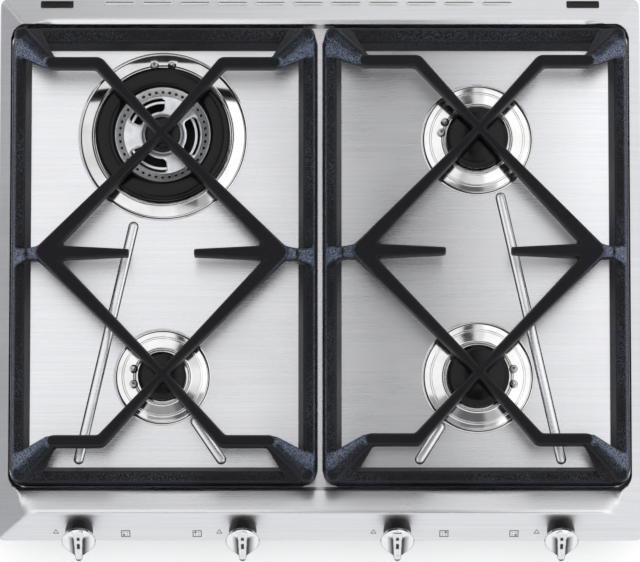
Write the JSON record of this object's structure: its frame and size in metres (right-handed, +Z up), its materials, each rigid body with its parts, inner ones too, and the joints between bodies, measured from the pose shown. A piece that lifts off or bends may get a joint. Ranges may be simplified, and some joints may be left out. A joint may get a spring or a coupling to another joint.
{
  "type": "gas cooktop",
  "caption": "Built-in gas cooktop: pressed steel top with raised control console, burners under two cast pan supports, push-and-turn knobs, and gas taps, rail and cups in a case below.",
  "frame": {"origin": "middle of the flat underside of the bottom case", "axes": "+X to the right seen from the knobs, +Y to the rear, +Z up; the knobs are at -Y"},
  "size_m": [0.6, 0.5305, 0.0915],
  "materials": {
    "steel": "fine sideways brushing, satin",
    "galvanised": "zinc-coated sheet, dull",
    "seal": "closed-cell sealing strip, matte",
    "brass": "machined, plain",
    "black_plastic": "fine satin",
    "chrome": "polished",
    "aluminium": "die cast, satin",
    "enamel": "gloss black vitreous enamel on steel",
    "ceramic": "glazed white ceramic",
    "probe_steel": "drawn steel",
    "aluminium_pipe": "drawn tube",
    "spindle_steel": "turned",
    "cast_iron": "matte black enamelled casting, fine grain"
  },
  "bodies": {
    "hob": {"hob_top": "steel", "bottom_case": "galvanised", "worktop_seal": "seal", "gas_rail": "galvanised", "gas_inlet_union": "brass", "mains_gland": "black_plastic", "ignition_generator": "black_plastic", "rail_bracket": "galvanised", "burner_plate_rear_left": "chrome", "injector_cup_rear_left": "galvanised", "burner_crown_rear_left": "aluminium", "ignition_electrode_rear_left": "ceramic", "flame_probe_rear_left": "probe_steel", "supply_pipe_rear_left": "aluminium_pipe", "burner_plate_rear_right": "chrome", "injector_cup_rear_right": "galvanised", "burner_crown_rear_right": "aluminium", "ignition_electrode_rear_right": "ceramic", "flame_probe_rear_right": "probe_steel", "supply_pipe_rear_right": "aluminium_pipe", "burner_plate_front_left": "chrome", "injector_cup_front_left": "galvanised", "burner_crown_front_left": "aluminium", "ignition_electrode_front_left": "ceramic", "flame_probe_front_left": "probe_steel", "supply_pipe_front_left": "aluminium_pipe", "burner_plate_front_right": "chrome", "injector_cup_front_right": "galvanised", "burner_crown_front_right": "aluminium", "ignition_electrode_front_right": "ceramic", "flame_probe_front_right": "probe_steel", "supply_pipe_front_right": "aluminium_pipe", "inner_crown_rear_left": "aluminium", "tap_body_1": "brass", "tap_body_2": "brass", "tap_body_3": "brass", "tap_body_4": "brass"},
    "tap_plug_1": {"tap_plug_1": "brass"},
    "knob_1": {"knob_cover_1": "chrome", "knob_skirt_1": "black_plastic", "tap_spindle_1": "spindle_steel"},
    "tap_plug_2": {"tap_plug_2": "brass"},
    "knob_2": {"knob_cover_2": "chrome", "knob_skirt_2": "black_plastic", "tap_spindle_2": "spindle_steel"},
    "tap_plug_3": {"tap_plug_3": "brass"},
    "knob_3": {"knob_cover_3": "chrome", "knob_skirt_3": "black_plastic", "tap_spindle_3": "spindle_steel"},
    "tap_plug_4": {"tap_plug_4": "brass"},
    "knob_4": {"knob_cover_4": "chrome", "knob_skirt_4": "black_plastic", "tap_spindle_4": "spindle_steel"},
    "pan_support_left": {"pan_support_left": "cast_iron"},
    "pan_support_right": {"pan_support_right": "cast_iron"},
    "burner_cap_rear_left": {"burner_cap_rear_left": "enamel"},
    "burner_cap_rear_right": {"burner_cap_rear_right": "enamel"},
    "burner_cap_front_left": {"burner_cap_front_left": "enamel"},
    "burner_cap_front_right": {"burner_cap_front_right": "enamel"},
    "inner_cap_rear_left": {"inner_cap_rear_left": "enamel"}
  },
  "joints": [
    {"name": "knob_1_turn", "type": "hinge", "parent": "hob", "child": "tap_plug_1", "pos_m": [-0.223, -0.243, 0.056], "axis": [0, -0.7071, 0.7071], "range_deg": [0, 210]},
    {"name": "knob_1_push", "type": "slide", "parent": "tap_plug_1", "child": "knob_1", "axis": [0, 0.7071, -0.7071], "range_m": [0, 0.0028], "stiffness_N_per_m": 600, "springref_m": -0.005},
    {"name": "knob_2_turn", "type": "hinge", "parent": "hob", "child": "tap_plug_2", "pos_m": [-0.0715, -0.243, 0.056], "axis": [0, -0.7071, 0.7071], "range_deg": [0, 210]},
    {"name": "knob_2_push", "type": "slide", "parent": "tap_plug_2", "child": "knob_2", "axis": [0, 0.7071, -0.7071], "range_m": [0, 0.0028], "stiffness_N_per_m": 600, "springref_m": -0.005},
    {"name": "knob_3_turn", "type": "hinge", "parent": "hob", "child": "tap_plug_3", "pos_m": [0.0715, -0.243, 0.056], "axis": [0, -0.7071, 0.7071], "range_deg": [0, 210]},
    {"name": "knob_3_push", "type": "slide", "parent": "tap_plug_3", "child": "knob_3", "axis": [0, 0.7071, -0.7071], "range_m": [0, 0.0028], "stiffness_N_per_m": 600, "springref_m": -0.005},
    {"name": "knob_4_turn", "type": "hinge", "parent": "hob", "child": "tap_plug_4", "pos_m": [0.223, -0.243, 0.056], "axis": [0, -0.7071, 0.7071], "range_deg": [0, 210]},
    {"name": "knob_4_push", "type": "slide", "parent": "tap_plug_4", "child": "knob_4", "axis": [0, 0.7071, -0.7071], "range_m": [0, 0.0028], "stiffness_N_per_m": 600, "springref_m": -0.005},
    {"name": "pan_support_left_lift", "type": "slide", "parent": "hob", "child": "pan_support_left", "axis": [0, 0, 1], "range_m": [0, 0.12]},
    {"name": "pan_support_right_lift", "type": "slide", "parent": "hob", "child": "pan_support_right", "axis": [0, 0, 1], "range_m": [0, 0.12]},
    {"name": "burner_cap_rear_left_lift", "type": "slide", "parent": "hob", "child": "burner_cap_rear_left", "axis": [0, 0, 1], "range_m": [0, 0.01]},
    {"name": "burner_cap_rear_right_lift", "type": "slide", "parent": "hob", "child": "burner_cap_rear_right", "axis": [0, 0, 1], "range_m": [0, 0.01]},
    {"name": "burner_cap_front_left_lift", "type": "slide", "parent": "hob", "child": "burner_cap_front_left", "axis": [0, 0, 1], "range_m": [0, 0.01]},
    {"name": "burner_cap_front_right_lift", "type": "slide", "parent": "hob", "child": "burner_cap_front_right", "axis": [0, 0, 1], "range_m": [0, 0.01]},
    {"name": "inner_cap_rear_left_lift", "type": "slide", "parent": "hob", "child": "inner_cap_rear_left", "axis": [0, 0, 1], "range_m": [0, 0.01]}
  ]
}
